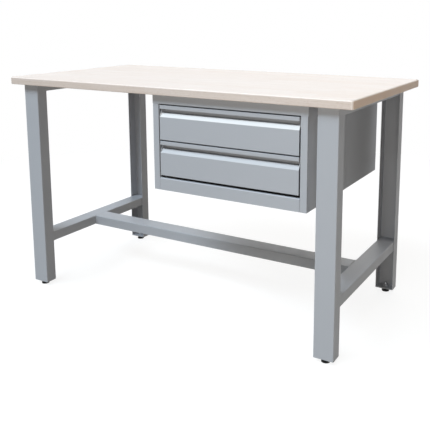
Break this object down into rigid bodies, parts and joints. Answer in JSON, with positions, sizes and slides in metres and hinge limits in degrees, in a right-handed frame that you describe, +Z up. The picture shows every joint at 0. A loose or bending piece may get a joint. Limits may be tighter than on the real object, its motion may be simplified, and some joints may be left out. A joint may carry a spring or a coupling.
{
  "type": "workbench",
  "caption": "Steel-framed workshop bench with a laminated wooden top, a low stretcher, levelling feet and a hanging drawer unit.",
  "frame": {"origin": "on the floor under the middle of the worktop", "axes": "+X to the right seen from the front, +Y to the rear, +Z up; the drawers pull toward -Y"},
  "size_m": [1.5, 0.75, 0.9],
  "materials": {
    "worktop_wood": "clear satin lacquer on laminated beech",
    "frame_paint": "light grey fine-textured powder coat",
    "unit_paint": "light grey fine-textured powder coat",
    "drawer_paint": "light grey fine-textured powder coat",
    "slide_steel": "bright zinc plate",
    "zinc_steel": "bright zinc plate",
    "foot_plastic": "matt black moulded plastic"
  },
  "bodies": {
    "bench": {"worktop": "worktop_wood", "leg_front_left": "frame_paint", "foot_plate_front_left": "frame_paint", "leg_front_right": "frame_paint", "foot_plate_front_right": "frame_paint", "leg_rear_left": "frame_paint", "foot_plate_rear_left": "frame_paint", "leg_rear_right": "frame_paint", "foot_plate_rear_right": "frame_paint", "upper_rail_left": "frame_paint", "lower_rail_left": "frame_paint", "stretcher_plate_left": "frame_paint", "unit_side_left": "unit_paint", "upper_rail_right": "frame_paint", "lower_rail_right": "frame_paint", "stretcher_plate_right": "frame_paint", "unit_side_right": "unit_paint", "stretcher": "frame_paint", "stretcher_bolts": "zinc_steel", "stretcher_inserts": "zinc_steel", "unit_back": "unit_paint", "unit_base": "unit_paint", "unit_top_rail": "unit_paint", "unit_bottom_rail": "unit_paint", "runner_post_front_left": "unit_paint", "runner_post_front_right": "unit_paint", "runner_post_rear_left": "unit_paint", "runner_post_rear_right": "unit_paint", "slide_outer_upper_left": "slide_steel", "slide_outer_upper_right": "slide_steel", "slide_outer_lower_left": "slide_steel", "slide_outer_lower_right": "slide_steel", "worktop_screws": "zinc_steel", "unit_screws": "zinc_steel"},
    "upper_drawer": {"drawer_front_upper": "drawer_paint", "drawer_grip_ends_upper": "drawer_paint", "drawer_tray_upper": "drawer_paint", "slide_inner_upper_left": "slide_steel", "slide_inner_upper_right": "slide_steel"},
    "upper_slide_middles": {"slide_middle_upper_left": "slide_steel", "slide_middle_upper_right": "slide_steel"},
    "lower_drawer": {"drawer_front_lower": "drawer_paint", "drawer_grip_ends_lower": "drawer_paint", "drawer_tray_lower": "drawer_paint", "slide_inner_lower_left": "slide_steel", "slide_inner_lower_right": "slide_steel"},
    "lower_slide_middles": {"slide_middle_lower_left": "slide_steel", "slide_middle_lower_right": "slide_steel"},
    "foot_front_left": {"foot_stud_front_left": "zinc_steel", "foot_pad_front_left": "foot_plastic"},
    "foot_front_right": {"foot_stud_front_right": "zinc_steel", "foot_pad_front_right": "foot_plastic"},
    "foot_rear_left": {"foot_stud_rear_left": "zinc_steel", "foot_pad_rear_left": "foot_plastic"},
    "foot_rear_right": {"foot_stud_rear_right": "zinc_steel", "foot_pad_rear_right": "foot_plastic"}
  },
  "joints": [
    {"name": "upper_drawer_pull", "type": "slide", "parent": "bench", "child": "upper_drawer", "axis": [0, -1, 0], "range_m": [0, 0.55]},
    {"name": "upper_slide_follow", "type": "slide", "parent": "bench", "child": "upper_slide_middles", "axis": [0, -1, 0], "range_m": [0, 0.275]},
    {"name": "lower_drawer_pull", "type": "slide", "parent": "bench", "child": "lower_drawer", "axis": [0, -1, 0], "range_m": [0, 0.55]},
    {"name": "lower_slide_follow", "type": "slide", "parent": "bench", "child": "lower_slide_middles", "axis": [0, -1, 0], "range_m": [0, 0.275]},
    {"name": "foot_turn_front_left", "type": "hinge", "parent": "bench", "child": "foot_front_left", "pos_m": [-0.659, -0.326, 0.02], "axis": [0, 0, 1], "continuous": true},
    {"name": "foot_turn_front_right", "type": "hinge", "parent": "bench", "child": "foot_front_right", "pos_m": [0.659, -0.326, 0.02], "axis": [0, 0, 1], "continuous": true},
    {"name": "foot_turn_rear_left", "type": "hinge", "parent": "bench", "child": "foot_rear_left", "pos_m": [-0.659, 0.326, 0.02], "axis": [0, 0, 1], "continuous": true},
    {"name": "foot_turn_rear_right", "type": "hinge", "parent": "bench", "child": "foot_rear_right", "pos_m": [0.659, 0.326, 0.02], "axis": [0, 0, 1], "continuous": true}
  ],
  "couplings": [
    {"joint": "upper_slide_follow", "follows": "upper_drawer_pull", "ratio": 0.5},
    {"joint": "lower_slide_follow", "follows": "lower_drawer_pull", "ratio": 0.5}
  ]
}
